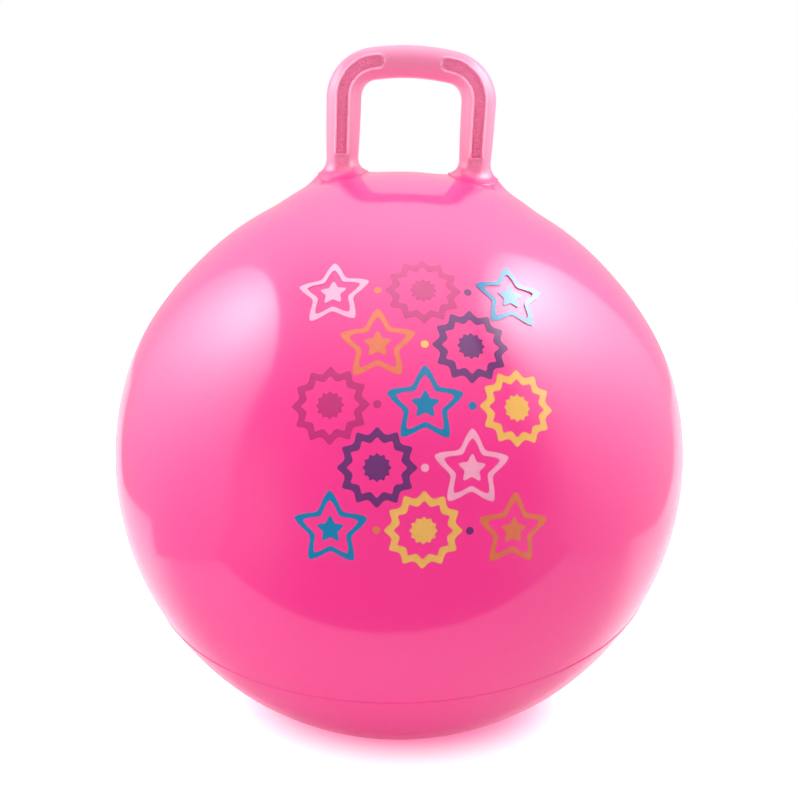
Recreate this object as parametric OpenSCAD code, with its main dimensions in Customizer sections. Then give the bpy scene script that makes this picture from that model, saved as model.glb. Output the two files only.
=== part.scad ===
// Hopper ball: an inflated ball to sit and bounce on, with a loop handle on its crown
// and an air valve on its upper back.
// Millimetres. +Z is up, the front faces -Y, and the origin is on the ground
// under the middle of the ball.

/* [Ball] */
// Outside diameter of the inflated ball
ball_d = 450; // [400:5:650]
// Thickness of the ball's skin
skin_t = 1.5; // [1.2:0.1:3]
// Radius of the flat patch that the ball's own weight presses on the ground
foot_r = 40; // [20:1:60]

/* [Parting line] */
// Distance from the ball's centre down to the plane of the parting line
seam_drop = 86; // [40:1:130]
// Radius of the round bead that runs along the parting line
bead_r = 0.9; // [0.6:0.1:1.5]
// Height of the bead above the skin
bead_h = 0.5; // [0.2:0.1:0.6]
// Slope of the parting line in degrees, lower at the front
seam_pitch = 7; // [0:0.5:15]
// Slope of the parting line in degrees, lower on the left
seam_roll = 3; // [0:0.5:15]

/* [Handle] */
// Distance between the axes of the two legs
leg_gap = 100; // [90:1:130]
// Height of the handle's top above the ball's crown
handle_h = 89; // [80:1:120]
// Outside diameter of the tube round the corners, where it is thickest
tube_d = 25.5; // [23:0.5:30]
// Outside diameter of the tube in the middle of the bar
bar_d = 22.2; // [20:0.1:26]
// Outside diameter of each leg where it stands on the ball
leg_d = 23; // [20:0.5:24]
// Wall thickness of the tube
tube_wall = 2.6; // [2:0.1:4]
// Radius of the tube's axis round each corner
corner_r = 26; // [24:0.5:36]
// Radius of the fillet that spreads each leg out on the ball
foot_fillet = 12; // [6:0.5:13]
// Thickness of the welded film between the handle and the ball
weld_film = 0.05; // [0.02:0.01:0.2]

/* [Grips] */
// Width of each grip panel, with its rim
grip_w = 12; // [10:0.5:16]
// Width of the raised rim round a grip panel
rim_w = 2.6; // [1.5:0.1:3]
// Height of the rim above the tube
rim_h = 0.6; // [0.3:0.1:1]
// Depth of the panel's field below the tube's surface
field_depth = 0.6; // [0.3:0.1:1]
// Height of a panel's lower end above the ball's crown
grip_rise = 10.5; // [10:0.5:20]
// Angle round the corner, in degrees, to the middle of a panel's rounded end
grip_sweep = 84; // [50:1:85]

/* [Valve] */
// Angle of the valve above the ball's widest level, in degrees
valve_tilt = 45; // [30:1:60]
// Radius of the pocket that holds the valve below the ball's surface
pocket_r = 16; // [14:0.5:20]
// Depth of the pocket, measured on the valve's axis
pocket_depth = 5; // [4.8:0.1:7]
// Diameter of the flange that seats on the pocket's floor
flange_d = 26; // [22:0.5:27]
// Thickness of the flange
flange_t = 1.8; // [1.2:0.1:2]
// Outside diameter of the valve's sleeve
sleeve_d = 14; // [12:0.5:18]
// Length of the sleeve below the flange
sleeve_len = 20; // [18:1:30]
// Diameter of the valve's bore
bore_d = 9; // [7:0.1:10]
// Radial clearance of the sleeve in the ball's skin
sleeve_fit = 0.05; // [0.02:0.01:0.1]

/* [Stopper] */
// Diameter of the stopper's head
head_d = 18; // [14:0.5:20]
// Thickness of the stopper's head
head_t = 2.4; // [1.6:0.1:2.6]
// Radius of the rounded edge on the stopper's head
head_edge = 1; // [0.4:0.1:1.2]
// Length of the stopper's shank below its head
shank_len = 18; // [14:1:20]
// Length of the tapered lead at the end of the shank
lead_len = 3; // [1:0.5:5]
// Radius that the lead takes off the end of the shank
lead_cut = 1.2; // [0.5:0.1:2]
// Radial clearance of the shank in the valve's bore
shank_fit = 0.05; // [0.02:0.01:0.1]
// Gap between the stopper's head and the flange it closes on
head_gap = 0.2; // [0.1:0.05:0.4]

/* [Hidden] */
$fn = 96;
ball_fn = 240;
pink = [0.91, 0.24, 0.53];
white = [0.95, 0.95, 0.93];
over = 1;

// Ball
ball_r = ball_d / 2;
centre_z = sqrt(pow(ball_r, 2) - pow(foot_r, 2));
crown_z = centre_z + ball_r;
bead_ring_r = ball_r + bead_h - bead_r;
seam_angle = asin(seam_drop / ball_r);

// Handle, in a frame whose Z is 0 where the legs end and the corners begin
tube_r = tube_d / 2;
bar_r = bar_d / 2;
bar_steps = 6;
leg_r = leg_d / 2;
leg_x = leg_gap / 2;
corner_x = leg_x - corner_r;
corner_z = crown_z + handle_h - tube_r - corner_r;
ball_z = centre_z - corner_z;

// Feet: a ball of the fillet's radius rolls round each leg on the crown
roll_r = leg_r + foot_fillet;
roll_ball_r = ball_r + foot_fillet;
roll_out_z = sqrt(pow(roll_ball_r, 2) - pow(leg_x + roll_r, 2));
roll_in_z = sqrt(pow(roll_ball_r, 2) - pow(leg_x - roll_r, 2));
roll_z = ball_z + (roll_out_z + roll_in_z) / 2;
roll_tilt = atan((roll_in_z - roll_out_z) / (2 * roll_r));
fillet_sink = 0.4;
foot_lip = 1.5;
foot_root = 3;
leg_h = foot_root - ball_z - sqrt(pow(ball_r, 2) - pow(leg_x + roll_r, 2));

// Grips
grip_h = corner_z - crown_z - grip_rise;
grip_near_y = tube_r / 2;
grip_far_y = tube_r + rim_h + over;

// Valve, measured outwards from the ball's centre along the valve's axis
pocket_z = ball_r - pocket_depth;
head_z = pocket_z + flange_t + head_gap;
bore_r = bore_d / 2;
shank_r = bore_r - shank_fit;
head_r = head_d / 2;

// The ball with the bead of its parting line, turned as one about the sloping line's axis
module beaded_ball() {
  translate([0, 0, centre_z])
    rotate([seam_pitch, 0, 0])
      rotate([0, -seam_roll, 0])
        rotate_extrude($fn = ball_fn)
          intersection() {
            union() {
              circle(ball_r, $fn = ball_fn);
              rotate(-seam_angle) translate([bead_ring_r, 0]) circle(bead_r);
            }
            translate([0, -ball_d]) square(2 * ball_d);
          }
}

// Everything below the ground
module ground() {
  translate([-ball_d, -ball_d, -ball_d]) cube([2 * ball_d, 2 * ball_d, ball_d]);
}

// The air space, which has a flat foot too and leaves a wall round the valve's pocket
module air_space() {
  difference() {
    rotate_extrude($fn = ball_fn)
      intersection() {
        translate([0, centre_z]) circle(ball_r - skin_t, $fn = ball_fn);
        translate([0, skin_t]) square(ball_d);
      }
    at_valve()
      translate([0, 0, pocket_z - skin_t])
        cylinder(h = pocket_depth + skin_t, r = pocket_r + skin_t);
  }
}

// Passages that let the air into the handle's legs
module air_passages() {
  in_handle()
    for (side = [-1, 1])
      translate([side * leg_x, 0, -leg_h - leg_d])
        cylinder(h = leg_h + leg_d, r = leg_r - tube_wall);
}

// Puts its children on the valve's axis, with Z measured outwards from the ball's centre
module at_valve() {
  translate([0, 0, centre_z]) rotate([valve_tilt - 90, 0, 0]) children();
}

// Puts its children in the handle's frame
module in_handle() {
  translate([0, 0, corner_z]) children();
}

// The bar's radius, from its slim middle at 0 to the corner at 1
function bar_radius(t) = bar_r + (tube_r - bar_r) * (1 - cos(180 * t)) / 2;

// The handle's tube, or with grow a thicker or thinner tube on the same axis
module handle_tube(grow) {
  for (side = [-1, 1])
    translate([side * leg_x, 0, -leg_h])
      cylinder(h = leg_h, r1 = leg_r + grow, r2 = tube_r + grow);
  for (side = [0, 1])
    mirror([side, 0, 0])
      translate([corner_x, 0, 0])
        rotate([90, 0, 0])
          rotate_extrude(angle = 90)
            translate([corner_r, 0]) circle(tube_r + grow);
  translate([0, 0, corner_r])
    rotate([0, 90, 0])
      rotate_extrude()
        polygon([
          [0, -corner_x],
          for (i = [-bar_steps:bar_steps])
            [bar_radius(abs(i) / bar_steps) + grow, corner_x * i / bar_steps],
          [0, corner_x]
        ]);
}

// The trumpet foot of each leg, before the ball's surface trims it
module leg_feet() {
  for (side = [0, 1])
    mirror([side, 0, 0])
      translate([leg_x, 0, roll_z])
        rotate([0, roll_tilt, 0])
          rotate_extrude()
            difference() {
              translate([0, -foot_fillet - foot_root])
                square([roll_r - fillet_sink - foot_lip, foot_fillet + foot_root]);
              translate([roll_r - fillet_sink, 0]) circle(foot_fillet);
            }
}

// Outline of a grip panel in the handle's plane: up a leg, round the corner, to a round end
module grip_outline(width, height) {
  far = 2 * corner_r;
  translate([leg_x - width / 2, -height]) square([width, height]);
  translate([corner_x, 0]) {
    intersection() {
      difference() {
        circle(corner_r + width / 2);
        circle(corner_r - width / 2);
      }
      polygon([[0, 0], [far, 0], [far, far], [far * cos(grip_sweep), far * sin(grip_sweep)]]);
    }
    translate([corner_r * cos(grip_sweep), corner_r * sin(grip_sweep)]) circle(width / 2);
  }
}

// The four grips: such an outline on both corners, cut through the front and the back
module grips(width, height) {
  for (left = [0, 1])
    for (back = [0, 1])
      mirror([left, 0, 0])
        mirror([0, back, 0])
          translate([0, -grip_near_y, 0])
            rotate([90, 0, 0])
              linear_extrude(grip_far_y - grip_near_y) grip_outline(width, height);
}

// The tube with the grips' raised rims and sunk fields
module gripped_tube() {
  difference() {
    union() {
      handle_tube(0);
      intersection() {
        handle_tube(rim_h);
        grips(grip_w, grip_h);
      }
    }
    difference() {
      grips(grip_w - 2 * rim_w, grip_h - rim_w);
      handle_tube(-field_depth);
    }
  }
}

module ball_skin() {
  color(pink)
    difference() {
      beaded_ball();
      ground();
      air_space();
      air_passages();
      at_valve() {
        translate([0, 0, pocket_z]) cylinder(h = pocket_depth + over, r = pocket_r);
        translate([0, 0, pocket_z - skin_t - over])
          cylinder(h = skin_t + 2 * over, r = sleeve_d / 2 + sleeve_fit);
      }
    }
}

module handle_loop() {
  color(pink)
    in_handle()
      difference() {
        union() {
          gripped_tube();
          leg_feet();
        }
        handle_tube(-tube_wall);
        translate([0, 0, ball_z]) sphere(ball_r + weld_film, $fn = ball_fn);
      }
}

module valve_seat() {
  color(pink)
    at_valve()
      translate([0, 0, pocket_z])
        rotate_extrude()
          difference() {
            union() {
              square([flange_d / 2, flange_t]);
              translate([0, -sleeve_len]) square([sleeve_d / 2, sleeve_len + flange_t]);
            }
            translate([0, -sleeve_len - over]) square([bore_r, sleeve_len + flange_t + 2 * over]);
          }
}

module valve_stopper() {
  color(white)
    at_valve()
      translate([0, 0, head_z])
        rotate_extrude() {
          square([head_r - head_edge, head_t]);
          square([head_r, head_t - head_edge]);
          translate([head_r - head_edge, head_t - head_edge]) circle(head_edge);
          polygon([
            [0, -shank_len],
            [shank_r - lead_cut, -shank_len],
            [shank_r, lead_len - shank_len],
            [shank_r, head_t / 2],
            [0, head_t / 2]
          ]);
        }
}

ball_skin();
handle_loop();
valve_seat();
valve_stopper();
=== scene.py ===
import math

import bmesh
import bpy
import numpy as np
from mathutils import Matrix, Vector
from mathutils.geometry import delaunay_2d_cdt


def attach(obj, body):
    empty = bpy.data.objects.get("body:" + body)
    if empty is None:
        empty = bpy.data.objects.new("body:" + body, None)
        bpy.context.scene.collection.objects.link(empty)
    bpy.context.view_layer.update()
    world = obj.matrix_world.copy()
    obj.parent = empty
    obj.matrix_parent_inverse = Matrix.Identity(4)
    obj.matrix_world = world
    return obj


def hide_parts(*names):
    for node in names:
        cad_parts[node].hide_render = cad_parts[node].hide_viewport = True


# A hopper ball of glossy pink vinyl with a loop handle, on a white sheet between soft boxes.
# Metres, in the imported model's frame: +Z is up, the front faces -Y, the origin is on the ground.

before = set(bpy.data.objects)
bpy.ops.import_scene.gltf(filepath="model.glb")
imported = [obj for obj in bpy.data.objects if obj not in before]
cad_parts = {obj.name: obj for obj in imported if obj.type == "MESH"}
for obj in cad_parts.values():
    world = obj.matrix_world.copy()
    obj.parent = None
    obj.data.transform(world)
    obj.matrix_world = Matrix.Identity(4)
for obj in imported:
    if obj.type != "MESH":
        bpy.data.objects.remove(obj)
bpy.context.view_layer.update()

# Ball
BALL_R = 0.225
FOOT_R = 0.040
FOOT_SOFTNESS = 0.0006
CENTRE = np.array([0, 0, math.sqrt(BALL_R**2 - FOOT_R**2)])
CROWN_Z = CENTRE[2] + BALL_R
BALL_COLUMNS = 288
BALL_RING_STEP = math.radians(1)
CROWN_FROM = math.radians(58)
CROWN_RING_STEP = math.radians(0.25)

# Shoulders: how far the skin falls in beside the handle, and where from the top that starts and ends
SHOULDER_DIP = 0.0038
SHOULDER_START = (math.radians(19), math.radians(28))
SHOULDER_END = (math.radians(43), math.radians(70))

# Parting line
SEAM_DROP = 0.086
SEAM_PITCH = math.radians(7)
SEAM_ROLL = math.radians(3)
BEAD_HALF_W = 0.0009
BEAD_H = 0.0005
BEAD_RINGS = 15

# Handle: its axis arches along the bar, turns round the corners and runs straight down the legs
LEG_X = 0.050
LEG_R = 0.0115
CORNER_TUBE_R = 0.0128
BAR_TUBE_R = 0.0111
BAR_Z = CROWN_Z + 0.0767
BAR_ARCH_R = 0.170
CORNER_R = 0.0245
BAR_TURN = math.asin((LEG_X - CORNER_R) / (BAR_ARCH_R - CORNER_R))
ARCH_Z = BAR_Z - BAR_ARCH_R
CORNER_X = LEG_X - CORNER_R
CORNER_Z = ARCH_Z + (BAR_ARCH_R - CORNER_R) * math.cos(BAR_TURN)
LEAN = math.radians(0.85)
BAR_RINGS = 24
CORNER_RINGS = 126
LEG_RING_STEP = 0.00036
LEG_TAIL = 0.0012
TUBE_COLUMNS = 24
GRIP_COLUMNS = 58
GRIP_SPAN = 1.2
FOOT_RINGS = 20
LEG_RINGS = 7

# Feet: the skin rises in a neck on the outer and inner side of each leg, where the leg's fillet
# ends in the weld's lip. At the front and back the fillet runs out on the ball.
NECK_OUT_H = 0.0072
NECK_IN_H = 0.0020
NECK_START = 0.0120
NECK_RUN = 0.0105
FILLET_OUT = 0.012
FILLET_FRONT = 0.013
FILLET_IN = 0.0085
FILLET_END = 0.85
LIP_H = 0.0003
LIP_SINK = 0.0008
FOOT_BLEND = (CROWN_Z - 0.009, CROWN_Z + 0.009)

# Grips
GRIP_HALF_W = 0.0057
GRIP_LOW_Z = CROWN_Z + 0.0105
GRIP_SWEEP = math.radians(91)
GRIP_LENGTH = CORNER_Z - GRIP_LOW_Z + CORNER_R * GRIP_SWEEP
RIM_W = 0.0022
RIM_H = 0.0010
# Rim faces above this share of the rim's height get the rim's painted highlight
RIM_PAINTED_HIGHLIGHT_FROM = 0.35
FIELD_DEPTH = 0.0008
PIP_PITCH = 0.0025
PIP_R = 0.0010
PIP_H = 0.0007
DENT_DEPTH = 0.0009
DENT_DROP = 0.0018
DENT_HALF = (0.0020, 0.0036)

# Valve, measured outwards from the ball's centre along the valve's axis
VALVE_TILT = math.radians(45)
POCKET_R = 0.016
POCKET_Z = BALL_R - 0.005
POCKET_EDGE = 0.0015
POCKET_FILLET = 0.0008
PATCH_R = 0.024
CUT_R = 0.029
SLEEVE_R = 0.007
SKIN_T = 0.0015
VALVE_COLUMNS = 96
SEAT_R = 0.013
SEAT_T = 0.0018
SEAT_EDGE = 0.0005
SLEEVE_LEN = 0.020
BORE_R = 0.0045
BORE_LEAD = 0.0006
HEAD_Z = POCKET_Z + 0.0020
HEAD_R = 0.009
HEAD_T = 0.0024
HEAD_EDGE = 0.0009
HEAD_DISH_R = 0.0058
HEAD_DISH = 0.0005
SHANK_R = 0.00445
SHANK_LEN = 0.018
LEAD_LEN = 0.003
LEAD_CUT = 0.0012

# Print
PRINT_SIDE = math.radians(4)
PRINT_UP = math.radians(24.5)
PRINT_LIFT = 0.00005
PRINT_STEP = (0.028, 0.037)
PRINT_ROWS = 5
MOTIF_R = 0.0235
MOTIF_BAND = 0.75
MOTIF_CORE = 0.36
STAR = {"points": 5, "depth": 0.46, "soft": 0.10}
SUN = {"points": 12, "depth": 0.20, "soft": 0.25}
DOT_R = 0.0024
MOTIF_COLUMNS = 240

# Picture
PHOTO_W = 798
PHOTO_H = 800
BALL_AT = (399.2, 455.7)
CAMERA_DISTANCE = 0.7425
CAMERA_ELEVATION = math.radians(16.8)
CAMERA_ROLL = math.radians(1.8)
FOCAL_PIXELS = 894.0
SENSOR_W = 36.0

# Studio
FLOOR_HALF = 3.0
FLOOR_FRONT = -0.357
FLOOR_SLOPE = -0.085
FLOOR_LEFT = -0.48
FLOOR_WHITE = 0.57
FLOOR_BACK_GLOW = 0.9
FLOOR_BACK_EDGE = (-0.14, 0.04)
# A pink shadow painted into the floor's camera-seen colour under the ball: its centre, its stretch sideways
# and the radii over which it fades out
PAINTED_SHADOW_AT = (0.008, 0.0)
PAINTED_SHADOW_ASPECT = 1.45
PAINTED_SHADOW_R = (0.058, 0.125)
ROOM_R = 6.0
CEILING_GLOW = 2.15
CEILING_SPREAD = math.radians(40)
BACK_GLOW = 0.85
BACK_EDGE = (-0.1, 0.5)
LEFT_BOX = {"middle": (-0.70, -0.02, 0.45), "size": (1.04, 1.34), "corner": 0.50}
LEFT_LAMP = {"glow": 8.2, "at": (-0.06, 0.49), "spread": (0.40, 0.46), "fade": (-0.56, -0.42)}
RIGHT_BOX = {"middle": (0.70, -0.20, 0.93), "size": (1.26, 1.86), "corner": 0.30}
RIGHT_LAMP = {"glow": 11.0, "at": (0.14, 0.29), "spread": (0.49, 0.53), "fade": (-0.60, -0.15)}
FILL_SIZE = 1.2
FILLS = {
    "left_fill": {"at": (-1.15, -0.55, 0.10), "power": 30.0},
    "right_fill": {"at": (1.15, -0.55, 0.10), "power": 38.0},
    "front_fill": {"at": (0.0, -1.30, -0.10), "power": 2.0},
}

# Colours
PINK = (0.850, 0.038, 0.285)
HANDLE_THROUGH = (0.94, 0.54, 0.72)
BALL_VINYL = {
    "colour": PINK,
    "through_colour": (0.96, 0.245, 0.57),
    "through": 0.38,
    "roughness": 0.42,
    "wave": 0.0003,
    "coat": 1.0,
    "shine": 0.45,
}
HANDLE_VINYL = {
    "colour": (0.76, 0.25, 0.41),
    "through_colour": HANDLE_THROUGH,
    "through": 0.37,
    "roughness": 0.34,
    "wave": 0.0001,
    "coat": 0.1,
    "shine": 1.1,
    "foot": {"colour": PINK, "roughness": 0.14},
}
# Painted highlight and painted shade on the grips: a lighter copy of the handle's vinyl on the rims' crests
# and a darker one on the sunk fields, for the light the rims catch and the shade in the fields
RIM_PAINTED_HIGHLIGHT_VINYL = {
    "colour": (1.0, 0.60, 0.76),
    "through_colour": HANDLE_THROUGH,
    "through": 0.42,
    "roughness": 0.28,
    "wave": 0.0001,
    "coat": 0.1,
    "shine": 0.9,
}
FIELD_PAINTED_SHADE_VINYL = {
    "colour": (0.75, 0.17, 0.32),
    "through_colour": HANDLE_THROUGH,
    "through": 0.25,
    "roughness": 0.50,
    "wave": 0.0001,
    "coat": 0.0,
    "shine": 0.5,
}
COAT_ROUGHNESS = 0.10
COAT_IOR = 1.70
VINYL_IOR = 1.53
CLOUDINESS = 0.06
CLOUD_SCALE = 7.0
WAVE_SCALE = 11.0
FINE_SCALE = 420.0
MOTTLE_SCALE = 600.0
INK_SCALE = 160.0
INK_UNEVEN = 0.10
INK_ROUGHNESS = (0.10, 0.15)
INK_COAT = 0.3
SEAT_ROUGHNESS = 0.40
STOPPER_ROUGHNESS = 0.35
SEAT_PINK = (0.80, 0.060, 0.26)
STOPPER_WHITE = (0.86, 0.86, 0.83)
# Colour of the shadow painted on the floor under the ball
PAINTED_SHADOW_PINK = (0.66, 0.005, 0.18)
INKS = {
    "teal": (0.013, 0.20, 0.39),
    "gold": (0.80, 0.43, 0.11),
    "orange": (0.69, 0.17, 0.075),
    "purple": (0.15, 0.036, 0.16),
    "pale": (0.87, 0.35, 0.51),
    "rose": (0.50, 0.030, 0.17),
}


def unit(v):
    """The vectors in the last axis at length 1."""
    return v / np.linalg.norm(v, axis=-1, keepdims=True)


def smooth_step(low, high, x):
    """0 below low, 1 above high, and an even rise between them."""
    t = np.clip((x - low) / (high - low), 0, 1)
    return t * t * (3 - 2 * t)


def grid_faces(rows, columns, start=0):
    """Quads of a grid whose columns close on themselves, rows after rows."""
    at = start + np.arange(rows * columns).reshape(rows, columns)
    beside = np.roll(at, -1, 1)
    return np.stack([at[:-1], beside[:-1], beside[1:], at[1:]], -1).reshape(-1, 4).tolist()


def mesh_piece(name, points, faces, material, body, normals=None):
    """A smooth mesh that rides on a body, with its normals where they are given and not zero."""
    mesh = bpy.data.meshes.new(name)
    mesh.from_pydata(np.asarray(points).tolist(), [], faces)
    mesh.update()
    mesh.polygons.foreach_set("use_smooth", [True] * len(mesh.polygons))
    if normals is not None:
        mesh.normals_split_custom_set_from_vertices(np.asarray(normals).tolist())
    mesh.materials.append(material)
    piece = bpy.data.objects.new(name, mesh)
    bpy.context.scene.collection.objects.link(piece)
    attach(piece, body)
    return piece


# Nodes


def new_tree(block):
    """The empty node tree of a material, world or light."""
    block.use_nodes = True
    block.node_tree.nodes.clear()
    return block.node_tree


def add(tree, kind, inputs=(), **settings):
    """A node of that kind. Each input, by name or number, is a value or another node's output."""
    made = tree.nodes.new(kind)
    for name, value in settings.items():
        setattr(made, name, value)
    for name, value in dict(inputs).items():
        if isinstance(value, bpy.types.NodeSocket):
            tree.links.new(value, made.inputs[name])
        else:
            made.inputs[name].default_value = value
    return made


def noise(tree, scale, detail=2.0):
    """Even noise on the piece's own coordinates."""
    place = add(tree, "ShaderNodeTexCoord")
    made = add(tree, "ShaderNodeTexNoise", {
        "Vector": place.outputs["Object"], "Scale": scale, "Detail": detail,
    })
    return made.outputs["Fac"]


def between(tree, fac, low, high):
    """A number from low to high as the noise goes from its dark to its light parts."""
    made = add(tree, "ShaderNodeMapRange", {
        "Value": fac, "From Min": 0.3, "From Max": 0.7, "To Min": low, "To Max": high,
    })
    return made.outputs["Result"]


def tinted(tree, fac, colour, spread):
    """The colour, a little darker and lighter with the noise."""
    mix = add(tree, "ShaderNodeMix", {"Factor": fac}, data_type="RGBA")
    mix.inputs[6].default_value = (*[c * (1 - spread) for c in colour], 1)
    mix.inputs[7].default_value = (*[min(1, c * (1 + spread)) for c in colour], 1)
    return mix.outputs[2]


def output(tree, surface):
    """Ends the tree in that surface."""
    add(tree, "ShaderNodeOutputMaterial", {"Surface": surface})


def down_feet(tree):
    """1 on the handle's tube, down to 0 where its feet meet the ball."""
    place = add(tree, "ShaderNodeTexCoord").outputs["Object"]
    height = add(tree, "ShaderNodeSeparateXYZ", {"Vector": place}).outputs["Z"]
    made = add(tree, "ShaderNodeMapRange", {
        "Value": height, "From Min": FOOT_BLEND[0], "From Max": FOOT_BLEND[1],
    }, interpolation_type="SMOOTHSTEP")
    return made.outputs["Result"]


def vinyl(name, colour, through_colour, through, roughness, wave, coat, shine, foot=None):
    """Soft vinyl that lets light through: broad cloudiness, a gently uneven face and a clear gloss.
    It can go over to a foot's colour and roughness down the handle's feet."""
    material = bpy.data.materials.new(name)
    tree = new_tree(material)
    cloud = noise(tree, CLOUD_SCALE)
    fine = noise(tree, FINE_SCALE, 4.0)
    uneven = noise(tree, WAVE_SCALE, 1.0)
    bump = add(tree, "ShaderNodeBump", {"Strength": 1.0, "Distance": wave, "Height": uneven})
    base = tinted(tree, cloud, colour, CLOUDINESS)
    rough = between(tree, fine, roughness * 0.85, roughness * 1.15)
    if foot:
        up = down_feet(tree)
        low = tinted(tree, cloud, foot["colour"], CLOUDINESS)
        base = add(tree, "ShaderNodeMix", {"Factor": up, 6: low, 7: base}, data_type="RGBA").outputs[2]
        blend = {"Value": up, "To Min": foot["roughness"], "To Max": rough}
        rough = add(tree, "ShaderNodeMapRange", blend).outputs["Result"]
    face = add(tree, "ShaderNodeBsdfPrincipled", {
        "Base Color": base,
        "Roughness": rough,
        "IOR": VINYL_IOR,
        "Specular IOR Level": shine,
        "Coat Weight": coat,
        "Coat Roughness": COAT_ROUGHNESS,
        "Coat IOR": COAT_IOR,
        "Normal": bump.outputs["Normal"],
    })
    glow_colour = tinted(tree, cloud, through_colour, CLOUDINESS)
    glow = add(tree, "ShaderNodeBsdfTranslucent", {"Color": glow_colour})
    mix = add(tree, "ShaderNodeMixShader", {"Fac": through, 1: face.outputs[0], 2: glow.outputs[0]})
    output(tree, mix.outputs[0])
    return material


def satin(name, colour, roughness):
    """Plain satin plastic with a faint mottle."""
    material = bpy.data.materials.new(name)
    tree = new_tree(material)
    fine = noise(tree, MOTTLE_SCALE, 3.0)
    bump = add(tree, "ShaderNodeBump", {"Strength": 0.3, "Distance": 0.00005, "Height": fine})
    face = add(tree, "ShaderNodeBsdfPrincipled", {
        "Base Color": tinted(tree, noise(tree, 60.0), colour, 0.05),
        "Roughness": between(tree, fine, roughness * 0.85, roughness * 1.15),
        "Normal": bump.outputs["Normal"],
    })
    output(tree, face.outputs[0])
    return material


def ink(name, colour):
    """Gloss ink that lies a little unevenly on the vinyl."""
    material = bpy.data.materials.new(name)
    tree = new_tree(material)
    face = add(tree, "ShaderNodeBsdfPrincipled", {
        "Base Color": tinted(tree, noise(tree, INK_SCALE, 5.0), colour, INK_UNEVEN),
        "Roughness": between(tree, noise(tree, FINE_SCALE, 4.0), *INK_ROUGHNESS),
        "IOR": VINYL_IOR,
        "Coat Weight": INK_COAT,
        "Coat Roughness": COAT_ROUGHNESS,
    })
    output(tree, face.outputs[0])
    return material


# Ball


def valve_axes():
    """Rows: two directions across the valve, then its axis outwards."""
    axis = np.array([0, math.cos(VALVE_TILT), math.sin(VALVE_TILT)])
    across = np.array([1.0, 0, 0])
    return np.array([across, np.cross(axis, across), axis])


def lathe(profile, columns=VALVE_COLUMNS):
    """Rings about the valve's axis, from (radius, distance from the ball's centre) pairs."""
    turn = np.linspace(0, 2 * math.pi, columns, endpoint=False)
    across, up, axis = valve_axes()
    ring = np.cos(turn)[:, None] * across + np.sin(turn)[:, None] * up
    rows = [CENTRE + r * ring + z * axis for r, z in profile]
    return np.concatenate(rows)


def arc(centre, radius, start, end, steps):
    """Points of an arc in a profile, with its angles in degrees."""
    turns = np.radians(np.linspace(start, end, steps))
    return [(centre[0] + radius * math.cos(t), centre[1] + radius * math.sin(t)) for t in turns]


def pocket_profile():
    """From the ball's face over the pocket's rounded edge and floor to the valve's hole."""
    lean = math.asin((POCKET_R + POCKET_EDGE) / (BALL_R - POCKET_EDGE))
    edge = (POCKET_R + POCKET_EDGE, (BALL_R - POCKET_EDGE) * math.cos(lean))
    floor = (POCKET_R - POCKET_FILLET, POCKET_Z + POCKET_FILLET)
    face = [(r, math.sqrt(BALL_R**2 - r**2)) for r in np.linspace(PATCH_R, POCKET_R + 1.5 * POCKET_EDGE, 6)]
    return (
        face
        + arc(edge, POCKET_EDGE, 90 - math.degrees(lean), 180, 9)
        + arc(floor, POCKET_FILLET, 0, -90, 6)
        + [(SLEEVE_R + 0.001, POCKET_Z), (SLEEVE_R, POCKET_Z), (SLEEVE_R, POCKET_Z - SKIN_T)]
    )


def ball_rings():
    """Latitudes about the parting line's axis, close together across its bead."""
    seam = -math.asin(SEAM_DROP / BALL_R)
    half = BEAD_HALF_W / BALL_R
    even = np.arange(-math.pi / 2, CROWN_FROM, BALL_RING_STEP)
    crown = np.arange(CROWN_FROM, math.pi / 2, CROWN_RING_STEP)
    even = np.concatenate([even, crown, [math.pi / 2]])
    close = seam + half * np.linspace(-1.2, 1.2, BEAD_RINGS)
    rings = np.sort(np.concatenate([even[abs(even - seam) > 2 * half], close]))
    off = np.clip((rings - seam) / half, -1, 1)
    return rings, BALL_R + BEAD_H * (1 - off**2) ** 2


def rise(way):
    """How far the skin stands out from a true ball in a direction from its centre: up beside the
    handle's feet and in on the shoulders."""
    out = BALL_R * abs(way[:, 0]) - LEG_X
    off = np.maximum(np.hypot(out, BALL_R * way[:, 1]), 1e-9)
    height = np.where(out > 0, NECK_OUT_H, NECK_IN_H) * (out / off) ** 2 * (way[:, 2] > 0)
    neck = height * np.exp(-((np.maximum(off - NECK_START, 0) / NECK_RUN) ** 2))
    from_top = np.arccos(np.clip(way[:, 2], -1, 1))
    band = smooth_step(*SHOULDER_START, from_top) - smooth_step(*SHOULDER_END, from_top)
    sideways = way[:, 0] ** 2 / np.maximum(way[:, 0] ** 2 + way[:, 1] ** 2, 1e-9)
    return neck - SHOULDER_DIP * band * sideways


def ball_grid():
    """The beaded ball as a grid about the parting line's axis, pressed flat on the ground."""
    axes = np.array(Matrix.Rotation(SEAM_PITCH, 3, "X") @ Matrix.Rotation(-SEAM_ROLL, 3, "Y"))
    rings, radii = ball_rings()
    turn = np.linspace(0, 2 * math.pi, BALL_COLUMNS, endpoint=False)
    local = np.stack([
        np.outer(radii * np.cos(rings), np.cos(turn)),
        np.outer(radii * np.cos(rings), np.sin(turn)),
        np.outer(radii * np.sin(rings), np.ones(BALL_COLUMNS)),
    ], -1)
    points = local.reshape(-1, 3) @ axes.T
    points = CENTRE + points * (1 + rise(unit(points)) / BALL_R)[:, None]
    z = points[:, 2]
    points[:, 2] = (z + np.sqrt(z**2 + FOOT_SOFTNESS**2)) / 2
    return points, grid_faces(len(rings), BALL_COLUMNS)


def rim_of(faces):
    """The edges that only one of the faces has."""
    edges = {(f[i - 1], f[i]) for f in faces for i in range(len(f))}
    return [(a, b) for a, b in edges if (b, a) not in edges]


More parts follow.
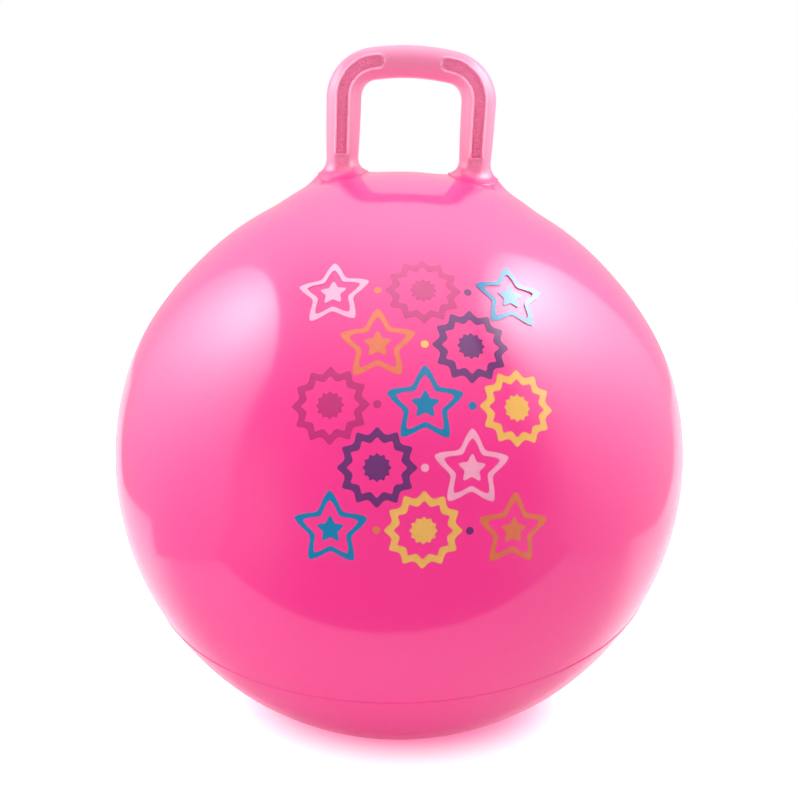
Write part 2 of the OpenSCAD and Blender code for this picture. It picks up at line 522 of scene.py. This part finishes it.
def stitch(flat, edges):
    """Triangles between an outer loop and the patch's outer ring, as numbers of the flat points."""
    made = delaunay_2d_cdt([Vector(p) for p in flat], edges, [], 1, 1e-9)
    old = [o[0] for o in made[3]]
    hole = PATCH_R * math.cos(math.pi / VALVE_COLUMNS) * 0.999
    found = [[old[i] for i in f] for f in made[2]]
    return [f for f in found if np.linalg.norm(np.mean(flat[f], 0)) > hole]


def ball_surface():
    """The ball's points and faces, with the valve's pocket set into the grid."""
    points, faces = ball_grid()
    across, up, axis = valve_axes()
    off = np.linalg.norm(np.cross(points - CENTRE, axis), axis=1)
    near = (off < CUT_R) & ((points - CENTRE) @ axis > 0)
    cut = [f for f in faces if near[f].any()]
    kept = [f for f in faces if not near[f].any()]
    profile = pocket_profile()
    first = len(points)
    points = np.concatenate([points, lathe(profile)])
    ring = [(first + i, first + (i + 1) % VALVE_COLUMNS) for i in range(VALVE_COLUMNS)]
    edges = rim_of(cut) + ring
    used = sorted({i for e in edges for i in e})
    number = {i: k for k, i in enumerate(used)}
    flat = np.stack([(points[used] - CENTRE) @ across, (points[used] - CENTRE) @ up], -1)
    strip = [[used[i] for i in f] for f in stitch(flat, [(number[a], number[b]) for a, b in edges])]
    pocket = [f[::-1] for f in grid_faces(len(profile), VALVE_COLUMNS, first)]
    return points, kept + strip + pocket


def merged(points, faces):
    """The same mesh without loose points or points that lie on each other."""
    mesh = bmesh.new()
    corners = [mesh.verts.new(p) for p in points]
    for f in faces:
        mesh.faces.new([corners[i] for i in f])
    bmesh.ops.delete(mesh, geom=[v for v in mesh.verts if not v.link_faces], context="VERTS")
    bmesh.ops.remove_doubles(mesh, verts=mesh.verts[:], dist=1e-6)
    bmesh.ops.recalc_face_normals(mesh, faces=mesh.faces[:])
    mesh.verts.index_update()
    points = np.array([v.co for v in mesh.verts])
    faces = [[v.index for v in f.verts] for f in mesh.faces]
    mesh.free()
    return points, faces


def make_ball(material):
    """The ball's skin, with exact normals where it is a true ball."""
    points, faces = merged(*ball_surface())
    out = points - CENTRE
    exact = abs(np.linalg.norm(out, axis=1) - BALL_R) < 1e-6
    normals = np.where(exact[:, None], unit(out), 0)
    ball = mesh_piece("ball_skin_visual", points, faces, material, "ball", normals)
    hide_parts("ball_skin")


# Valve


def make_seat(material):
    """The valve's flange and sleeve, turned about the valve's axis, with an open bore."""
    top = POCKET_Z + SEAT_T
    profile = [
        (BORE_R, POCKET_Z - SLEEVE_LEN),
        (SLEEVE_R - SEAT_EDGE, POCKET_Z - SLEEVE_LEN),
        (SLEEVE_R, POCKET_Z - SLEEVE_LEN + SEAT_EDGE),
        (SLEEVE_R, POCKET_Z),
        *arc((SEAT_R - SEAT_EDGE, POCKET_Z + SEAT_EDGE), SEAT_EDGE, -90, 0, 5),
        *arc((SEAT_R - SEAT_EDGE, top - SEAT_EDGE), SEAT_EDGE, 0, 90, 5),
        *arc((BORE_R + BORE_LEAD, top - BORE_LEAD), BORE_LEAD, 90, 180, 5),
        (BORE_R, POCKET_Z - SLEEVE_LEN),
    ]
    points, faces = merged(lathe(profile), grid_faces(len(profile), VALVE_COLUMNS))
    seat = mesh_piece("valve_seat_visual", points, faces, material, "ball")
    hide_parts("valve_seat")


def make_stopper(material):
    """The push-in stopper: a dished head with a round edge, and a shank with a tapered end."""
    top = HEAD_Z + HEAD_T
    tip = HEAD_Z - SHANK_LEN
    dish = np.linspace(0, 1, 5)
    profile = [
        (0, tip),
        (SHANK_R - LEAD_CUT, tip),
        (SHANK_R, tip + LEAD_LEN),
        (SHANK_R, HEAD_Z),
        *arc((HEAD_R - HEAD_EDGE / 3, HEAD_Z + HEAD_EDGE / 3), HEAD_EDGE / 3, -90, 0, 4),
        *arc((HEAD_R - HEAD_EDGE, top - HEAD_EDGE), HEAD_EDGE, 0, 90, 7),
        *[(HEAD_DISH_R + HEAD_DISH * (1 - t), top - HEAD_DISH * smooth_step(0, 1, t)) for t in dish],
        (0, top - HEAD_DISH),
    ]
    points, faces = merged(lathe(profile), grid_faces(len(profile), VALVE_COLUMNS))
    stopper = mesh_piece("valve_stopper_visual", points, faces, material, "stopper")
    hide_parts("valve_stopper")


# Print


def outline(size, points, depth, soft):
    """Places round a star or a sun whose tips are at that size."""
    turn = np.linspace(0, 2 * math.pi, MOTIF_COLUMNS, endpoint=False)
    reach = np.sqrt(np.sin(points * turn / 2) ** 2 + soft**2) - soft
    return size * (1 - depth * reach)[:, None] * np.stack([np.sin(turn), np.cos(turn)], -1)


def on_ball(flat):
    """Places and normals on the ball's front, from distances along it to the right and up."""
    side, up = PRINT_SIDE, PRINT_UP
    out = np.array([math.sin(side) * math.cos(up), -math.cos(side) * math.cos(up), math.sin(up)])
    right = unit(np.cross([0, 0, 1.0], out))
    above = np.cross(out, right)
    away = np.maximum(np.linalg.norm(flat, axis=1), 1e-9)[:, None]
    way = (flat[:, :1] * right + flat[:, 1:] * above) / away
    normal = np.cos(away / BALL_R) * out + np.sin(away / BALL_R) * way
    return CENTRE + (BALL_R + PRINT_LIFT) * normal, normal


def motif(kind, size, centre):
    """A band along a star or a sun, with a small solid one inside: flat places and faces."""
    rings = [outline(size * t, **kind) for t in np.linspace(1, MOTIF_BAND, 4)]
    core = [outline(size * MOTIF_CORE * t, **kind) for t in np.linspace(1, 0, 6)]
    band = grid_faces(len(rings), MOTIF_COLUMNS)
    inner = grid_faces(len(core), MOTIF_COLUMNS, len(rings) * MOTIF_COLUMNS)
    return np.concatenate(rings + core) + centre, band + inner


def dot(centre):
    """A round spot: flat places and faces."""
    rings = [outline(DOT_R * t, points=1, depth=0, soft=1) for t in (1, 0.5, 0)]
    return np.concatenate(rings) + centre, grid_faces(len(rings), MOTIF_COLUMNS)


def print_places():
    """Centres of the print's motifs, in rows of three and two, and of the dots between them."""
    motifs, dots = [], []
    for row in range(PRINT_ROWS):
        y = PRINT_STEP[1] * (row - (PRINT_ROWS - 1) / 2)
        across = (-2, 0, 2) if row % 2 == 0 else (-1, 1)
        motifs += [(PRINT_STEP[0] * i, y) for i in across]
        dots += [(PRINT_STEP[0] * (i + 1), y) for i in across[:-1]]
    return motifs, dots


def make_print():
    """The print's motifs and dots, one piece for each ink."""
    names = list(INKS)
    motifs, dots = print_places()
    drawn = {name: [] for name in names}
    for k, centre in enumerate(motifs):
        drawn[names[k % len(names)]].append(motif(SUN if k % 2 else STAR, MOTIF_R, centre))
    for k, centre in enumerate(dots):
        drawn[names[(k + 2) % len(names)]].append(dot(centre))
    for name, shapes in drawn.items():
        flat, faces = np.zeros((0, 2)), []
        for places, cells in shapes:
            faces += [[i + len(flat) for i in reversed(f)] for f in cells]
            flat = np.concatenate([flat, places])
        points, normals = on_ball(flat)
        gloss = ink("ink_" + name, INKS[name])
        mesh_piece("print_" + name, points, faces, gloss, "ball", normals)


# Handle


def handle_columns():
    """Angles round the tube, 0 outwards from the loop and a quarter turn to the front, closer together
    on the grips."""
    edge = math.acos(GRIP_SPAN * GRIP_HALF_W / BAR_TUBE_R)
    close = np.linspace(edge, math.pi - edge, GRIP_COLUMNS, endpoint=False)
    wide = np.linspace(-edge, edge, TUBE_COLUMNS, endpoint=False)
    return np.concatenate([wide, close, wide + math.pi, close + math.pi])


def half_stations():
    """Down the right half of the axis: places, outward directions, lengths past the grip's lower end
    and the tube's radii."""
    bar = np.linspace(0, BAR_TURN, BAR_RINGS, endpoint=False)
    turn = np.linspace(BAR_TURN, math.pi / 2, CORNER_RINGS, endpoint=False)
    down = np.arange(CORNER_Z, GRIP_LOW_Z - LEG_TAIL, -LEG_RING_STEP)
    angles = np.concatenate([bar, turn, np.full(len(down), math.pi / 2)])
    out = np.stack([np.sin(angles), np.zeros(len(angles)), np.cos(angles)], -1)
    bar_place = [0, 0, ARCH_Z] + BAR_ARCH_R * out[: len(bar)]
    turn_place = [CORNER_X, 0, CORNER_Z] + CORNER_R * out[len(bar) : len(bar) + len(turn)]
    down_place = np.stack([np.full(len(down), LEG_X), np.zeros(len(down)), down], -1)
    corner_top = CORNER_Z - GRIP_LOW_Z + CORNER_R * (math.pi / 2 - BAR_TURN)
    along = np.concatenate([
        corner_top + BAR_ARCH_R * (BAR_TURN - bar),
        corner_top - CORNER_R * (turn - BAR_TURN),
        down - GRIP_LOW_Z,
    ])
    height = (down - CROWN_Z) / (CORNER_Z - CROWN_Z)
    radius = np.concatenate([
        np.full(len(bar), BAR_TUBE_R),
        BAR_TUBE_R + (CORNER_TUBE_R - BAR_TUBE_R) * smooth_step(BAR_TURN, math.pi / 2, turn),
        CORNER_TUBE_R + (LEG_R - CORNER_TUBE_R) * (1 - height) ** 2,
    ])
    return np.concatenate([bar_place, turn_place, down_place]), out, along, radius


def grip_relief(along, across):
    """How far the tube's face stands out on a grip, from its lower end and its middle line: a rim
    up both sides and round the upper end, and pips on the sunk field between them. Also the zones of
    painted light: 1 on the rim's crest for a painted highlight, 2 on the sunk field for a painted shade."""
    past = np.maximum(along - GRIP_LENGTH, 0)
    inside = GRIP_HALF_W - np.hypot(past, across)
    rim = np.clip(1 - (2 * inside / RIM_W - 1) ** 2, 0, 1)
    rim = rim * smooth_step(-0.5 * RIM_W, 0.5 * RIM_W, along)
    field = smooth_step(0.6 * RIM_W, 1.1 * RIM_W, inside)
    field = field * smooth_step(-0.3 * RIM_W, 0.3 * RIM_W, along)
    row = np.round(along / PIP_PITCH)
    shift = PIP_PITCH * (0.5 + 0.5 * (row % 2))
    from_pip = np.hypot(along - row * PIP_PITCH, (across + shift) % PIP_PITCH - PIP_PITCH / 2)
    pip = np.clip(1 - (from_pip / PIP_R) ** 2, 0, 1) * (inside > RIM_W + 0.5 * PIP_R) * (row > 0)
    painted_light_zones = np.where(field > 0.5, 2, np.where(rim > RIM_PAINTED_HIGHLIGHT_FROM, 1, 0))
    return RIM_H * rim - FIELD_DEPTH * field + PIP_H * pip, painted_light_zones


def foot_rows(columns, low_ring):
    """Rings from the lowest tube ring down round the fillet that rolls on the ball, to the weld's lip."""
    out = np.stack([np.cos(columns), -np.sin(columns), np.zeros(len(columns))], -1)
    side = np.cos(columns)[:, None]
    sideways = np.where(side > 0, FILLET_OUT, FILLET_IN)
    fillet = FILLET_FRONT + (sideways - FILLET_FRONT) * side**2
    end = FILLET_END + (1 - FILLET_END) * (1 - side**2)
    leg_r = np.linalg.norm((low_ring - [LEG_X, 0, 0])[:, :2], axis=1)[:, None]
    middle = np.array([LEG_X, 0, 0]) + (leg_r + fillet) * out
    seat = unit([LEG_X, 0, CROWN_Z - CENTRE[2]] + (leg_r + 0.5 * fillet) * out)
    touch_r = BALL_R + rise(seat) + LIP_H * side[:, 0] ** 2
    middle[:, 2] = np.sqrt((touch_r + fillet[:, 0]) ** 2 - middle[:, 0] ** 2 - middle[:, 1] ** 2)
    to_leg, to_ball = -out, -unit(middle)
    angle = np.arccos(np.sum(to_leg * to_ball, 1))[:, None]
    rows = []
    for step in np.linspace(0, 1, FOOT_RINGS):
        t = step * end
        way = (np.sin((1 - t) * angle) * to_leg + np.sin(t * angle) * to_ball) / np.sin(angle)
        rows.append(middle + fillet * way + CENTRE)
    leg = [low_ring + (rows[0] - low_ring) * t for t in np.linspace(0, 1, LEG_RINGS + 1)[1:-1]]
    edge = unit(rows[-1] - CENTRE)
    outward = unit(out - np.sum(out * edge, 1)[:, None] * edge)
    lip = rows[-1] + LIP_H * (outward - 0.4 * side**2 * edge)
    sunk = CENTRE + unit(lip - CENTRE) * (BALL_R + rise(unit(lip - CENTRE)) - LIP_SINK)[:, None]
    return leg + rows + [lip, sunk + 2 * LIP_H * (1 - side**2) * outward]


def dented(points):
    """The handle with a thumbprint below each grip, front and back."""
    x, y, z = points[..., 0], points[..., 1], points[..., 2]
    off = ((z - GRIP_LOW_Z + DENT_DROP) / DENT_HALF[0]) ** 2 + ((x - LEG_X) / DENT_HALF[1]) ** 2
    front = np.clip(y / LEG_R, -1, 1)
    return np.stack([x, y - DENT_DEPTH * np.exp(-off) * front, z], -1)


def handle_half():
    """Rings of the right half of the handle, from the bar's middle down to the ball, and their zones of
    painted light.
    """
    columns = handle_columns()
    axis, out, along, radius = half_stations()
    across = radius[:, None] * np.cos(columns)
    lift, painted_light_zones = grip_relief(along[:, None], across)
    front = np.array([0, -1.0, 0])
    way = np.cos(columns)[None, :, None] * out[:, None] + np.sin(columns)[None, :, None] * front
    rings = list(axis[:, None] + (radius[:, None] + lift)[..., None] * way)
    feet = foot_rows(columns, rings[-1])
    painted_light_zones = np.concatenate([painted_light_zones, np.zeros((len(feet), len(columns)), int)])
    return dented(np.array(rings + feet)), painted_light_zones


def leaned(points):
    """The soft handle leaning a little to the right on its feet."""
    x, y, z = points[..., 0], points[..., 1], points[..., 2]
    share = smooth_step(CROWN_Z, CORNER_Z, z)
    return np.stack([x + LEAN * np.maximum(z - CROWN_Z, 0), y, z - LEAN * share * x], -1)


def painted_light_per_face(faces, painted_light_zones):
    """The material of each face, from the zones of its corners: 0 tube, 1 rim with a painted highlight, 2
    field with a painted shade.
    """
    return np.round(np.mean(painted_light_zones[np.array(faces)], axis=1)).astype(int)


def make_handle(materials):
    """The loop handle from its two mirrored halves, in the vinyls of its tube, rims and fields: the rims'
    vinyl is a lighter copy with a painted highlight, the fields' a darker copy with a painted shade.
    """
    right, painted_light_zones = handle_half()
    left = right[:0:-1] * np.array([-1, 1, 1])
    rings = leaned(np.concatenate([left, right]))
    painted_light_zones = np.concatenate([painted_light_zones[:0:-1], painted_light_zones]).reshape(-1)
    faces = grid_faces(rings.shape[0], rings.shape[1])
    points = rings.reshape(-1, 3)
    handle = mesh_piece("handle_loop_visual", points, faces, materials[0], "ball")
    for extra in materials[1:]:
        handle.data.materials.append(extra)
    handle.data.polygons.foreach_set("material_index", painted_light_per_face(faces, painted_light_zones))
    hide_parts("handle_loop")


# Stage and light


def stage_piece(name, points, faces, material, seen):
    """A thing of the studio: seen by the camera or only in reflections and as light."""
    mesh = bpy.data.meshes.new(name)
    mesh.from_pydata(np.asarray(points).tolist(), [], faces)
    mesh.materials.append(material)
    piece = bpy.data.objects.new(name, mesh)
    bpy.context.scene.collection.objects.link(piece)
    piece.visible_camera = seen
    return piece


def glowing(name, glow, at, spread, fade):
    """A soft box's diffuser, brightest where the lamp stands behind it, with its front edge faded out."""
    material = bpy.data.materials.new(name)
    tree = new_tree(material)
    place = add(tree, "ShaderNodeTexCoord").outputs["Object"]
    away = add(tree, "ShaderNodeVectorMath", {0: place, 1: (*at, 0)}, operation="SUBTRACT").outputs[0]
    away = add(tree, "ShaderNodeVectorMath", {0: away, 1: (*spread, 1)}, operation="DIVIDE").outputs[0]
    squared = add(tree, "ShaderNodeVectorMath", {0: away, 1: away}, operation="DOT_PRODUCT")
    longer = add(tree, "ShaderNodeMath", {0: squared.outputs["Value"], 1: 1.0}, operation="ADD").outputs[0]
    fall = add(tree, "ShaderNodeMath", {0: longer, 1: -1.5}, operation="POWER").outputs[0]
    split = add(tree, "ShaderNodeSeparateXYZ", {"Vector": place})
    level = add(tree, "ShaderNodeMapRange", {
        "Value": split.outputs["X"], "From Min": fade[0], "From Max": fade[1], "To Max": glow,
    }, interpolation_type="SMOOTHSTEP").outputs["Result"]
    level = add(tree, "ShaderNodeMath", {0: level, 1: fall}, operation="MULTIPLY").outputs[0]
    light = add(tree, "ShaderNodeEmission", {"Strength": level})
    output(tree, light.outputs[0])
    return material


def soft_box(name, box, lamp):
    """A rounded upright diffuser that runs from front to back beside the ball."""
    turns = np.radians(np.arange(3.75, 360, 7.5))
    ring = np.stack([np.cos(turns), np.sin(turns)], -1)
    flat = np.sign(ring) * (np.array(box["size"]) / 2 - box["corner"]) + box["corner"] * ring
    points = [(x, y, 0) for x, y in flat]
    piece = stage_piece(name, points, [list(range(len(points)))], glowing(name, **lamp), False)
    upright = Matrix(((0, 0, 1), (1, 0, 0), (0, 1, 0))).to_4x4()
    piece.matrix_world = Matrix.Translation(box["middle"]) @ upright


def make_fill(name, at, power):
    """A weak broad lamp that lights the ball low from the front and doesn't show in its gloss."""
    data = bpy.data.lights.new(name, "AREA")
    data.shape = "DISK"
    data.size = FILL_SIZE
    data.energy = power
    lamp = bpy.data.objects.new(name, data)
    bpy.context.scene.collection.objects.link(lamp)
    look = (Vector(CENTRE) - Vector(at)).to_track_quat("-Z", "Y").to_matrix().to_4x4()
    lamp.matrix_world = Matrix.Translation(at) @ look
    lamp.visible_glossy = False
    lamp.visible_camera = False


def sheet_with_painted_shadow():
    """The floor's paper. The camera sees it lit white, with a pink shadow painted into its colour under
    the ball, which stands in for the shade there and the light that comes through the vinyl."""
    material = bpy.data.materials.new("sheet_with_painted_shadow")
    tree = new_tree(material)
    paper = add(tree, "ShaderNodeBsdfDiffuse", {"Color": (FLOOR_WHITE, FLOOR_WHITE, FLOOR_WHITE, 1)})
    place = add(tree, "ShaderNodeTexCoord").outputs["Object"]
    moved = add(tree, "ShaderNodeVectorMath", {0: place, 1: (*PAINTED_SHADOW_AT, 0)}, operation="SUBTRACT")
    shrunk = {0: moved.outputs[0], 1: (PAINTED_SHADOW_ASPECT, 1, 1)}
    away = add(tree, "ShaderNodeVectorMath", shrunk, operation="DIVIDE").outputs[0]
    away = add(tree, "ShaderNodeVectorMath", {0: away}, operation="LENGTH")
    # Painted shadow: pink under the ball, going over to white further out, seen only by the camera
    clear = add(tree, "ShaderNodeMapRange", {
        "Value": away.outputs["Value"], "From Min": PAINTED_SHADOW_R[0], "From Max": PAINTED_SHADOW_R[1],
    }, interpolation_type="SMOOTHSTEP").outputs["Result"]
    painted_shadow = add(tree, "ShaderNodeMix", {"Factor": clear}, data_type="RGBA")
    painted_shadow.inputs[6].default_value = (*PAINTED_SHADOW_PINK, 1)
    painted_shadow.inputs[7].default_value = (1, 1, 1, 1)
    seen = add(tree, "ShaderNodeLightPath").outputs["Is Camera Ray"]
    split = add(tree, "ShaderNodeSeparateXYZ", {"Vector": place})
    behind = add(tree, "ShaderNodeMapRange", {
        "Value": split.outputs["Y"], "From Min": FLOOR_BACK_EDGE[0], "From Max": FLOOR_BACK_EDGE[1],
        "To Max": FLOOR_BACK_GLOW,
    }, interpolation_type="SMOOTHSTEP").outputs["Result"]
    white = add(tree, "ShaderNodeEmission", {"Color": painted_shadow.outputs[2], "Strength": 1.0})
    lit = add(tree, "ShaderNodeEmission", {"Strength": behind})
    sheet = add(tree, "ShaderNodeAddShader", {0: paper.outputs[0], 1: lit.outputs[0]})
    bright = add(tree, "ShaderNodeAddShader", {0: paper.outputs[0], 1: white.outputs[0]})
    both = add(tree, "ShaderNodeMixShader", {"Fac": seen, 1: sheet.outputs[0], 2: bright.outputs[0]})
    output(tree, both.outputs[0])
    return material


def make_floor():
    """A white sheet that ends in front of the ball and beside it on the left."""
    left_y = FLOOR_FRONT + FLOOR_SLOPE * FLOOR_LEFT
    right_y = FLOOR_FRONT + FLOOR_SLOPE * FLOOR_HALF
    points = [(FLOOR_LEFT, left_y, 0), (FLOOR_HALF, right_y, 0), (FLOOR_HALF, FLOOR_HALF, 0),
              (-FLOOR_HALF, FLOOR_HALF, 0), (-FLOOR_HALF, -FLOOR_LEFT, 0), (FLOOR_LEFT, 0, 0)]
    stage_piece("floor", points, [list(range(len(points)))], sheet_with_painted_shadow(), True)


def make_room():
    """The studio round the ball, which shows only in reflections and as light: a bright ceiling,
    a white wall behind and a dark front."""
    material = bpy.data.materials.new("studio_room")
    tree = new_tree(material)
    place = add(tree, "ShaderNodeTexCoord").outputs["Object"]
    way = add(tree, "ShaderNodeVectorMath", {0: place}, operation="NORMALIZE").outputs[0]
    split = add(tree, "ShaderNodeSeparateXYZ", {"Vector": way})
    angle = add(tree, "ShaderNodeMath", {0: split.outputs["Z"]}, operation="ARCCOSINE").outputs[0]
    share = add(tree, "ShaderNodeMath", {0: angle, 1: CEILING_SPREAD}, operation="DIVIDE").outputs[0]
    squared = add(tree, "ShaderNodeMath", {0: share, 1: share}, operation="MULTIPLY").outputs[0]
    fall = add(tree, "ShaderNodeMath", {0: squared, 1: -1.0}, operation="MULTIPLY").outputs[0]
    over = add(tree, "ShaderNodeMath", {0: fall}, operation="EXPONENT").outputs[0]
    back = add(tree, "ShaderNodeMapRange", {
        "Value": split.outputs["Y"], "From Min": BACK_EDGE[0], "From Max": BACK_EDGE[1],
        "To Max": BACK_GLOW,
    }, interpolation_type="SMOOTHSTEP").outputs["Result"]
    level = add(tree, "ShaderNodeMath", {0: over, 1: CEILING_GLOW, 2: back}, operation="MULTIPLY_ADD")
    light = add(tree, "ShaderNodeEmission", {"Strength": level.outputs[0]})
    output(tree, light.outputs[0])
    mesh = bmesh.new()
    bmesh.ops.create_uvsphere(mesh, u_segments=48, v_segments=24, radius=ROOM_R)
    points = [v.co[:] for v in mesh.verts]
    mesh.verts.index_update()
    faces = [[v.index for v in f.verts] for f in mesh.faces]
    mesh.free()
    stage_piece("studio_room", points, faces, material, False)


def make_world():
    """A white background for the camera."""
    world = bpy.data.worlds.new("white_background")
    bpy.context.scene.world = world
    tree = new_tree(world)
    light = add(tree, "ShaderNodeBackground", {"Color": (1, 1, 1, 1), "Strength": 1.0})
    add(tree, "ShaderNodeOutputWorld", {"Surface": light.outputs[0]})


def make_camera():
    """The photo's camera, close in front of the ball and a little above it."""
    data = bpy.data.cameras.new("camera")
    data.sensor_fit = "HORIZONTAL"
    data.sensor_width = SENSOR_W
    data.lens = SENSOR_W * FOCAL_PIXELS / PHOTO_W
    data.shift_x = (PHOTO_W / 2 - BALL_AT[0]) / PHOTO_W
    data.shift_y = (BALL_AT[1] - PHOTO_H / 2) / PHOTO_W
    camera = bpy.data.objects.new("camera", data)
    bpy.context.scene.collection.objects.link(camera)
    back = Vector((0, -math.cos(CAMERA_ELEVATION), math.sin(CAMERA_ELEVATION)))
    look = (-back).to_track_quat("-Z", "Y").to_matrix().to_4x4()
    place = Matrix.Translation(Vector(CENTRE) + CAMERA_DISTANCE * back)
    camera.matrix_world = place @ look @ Matrix.Rotation(CAMERA_ROLL, 4, "Z")
    bpy.context.scene.camera = camera


make_camera()
make_world()
make_floor()
make_room()
for fill, setting in FILLS.items():
    make_fill(fill, **setting)
soft_box("left_box", LEFT_BOX, LEFT_LAMP)
soft_box("right_box", RIGHT_BOX, RIGHT_LAMP)

bpy.context.scene.view_settings.view_transform = "Standard"

make_ball(vinyl("ball_vinyl", **BALL_VINYL))
make_handle([
    vinyl("handle_vinyl", **HANDLE_VINYL),
    # Rims with a painted highlight, fields with a painted shade
    vinyl("rim_painted_highlight_vinyl", **RIM_PAINTED_HIGHLIGHT_VINYL),
    vinyl("field_painted_shade_vinyl", **FIELD_PAINTED_SHADE_VINYL),
])
make_seat(satin("seat_vinyl", SEAT_PINK, SEAT_ROUGHNESS))
make_stopper(satin("stopper_white", STOPPER_WHITE, STOPPER_ROUGHNESS))
make_print()
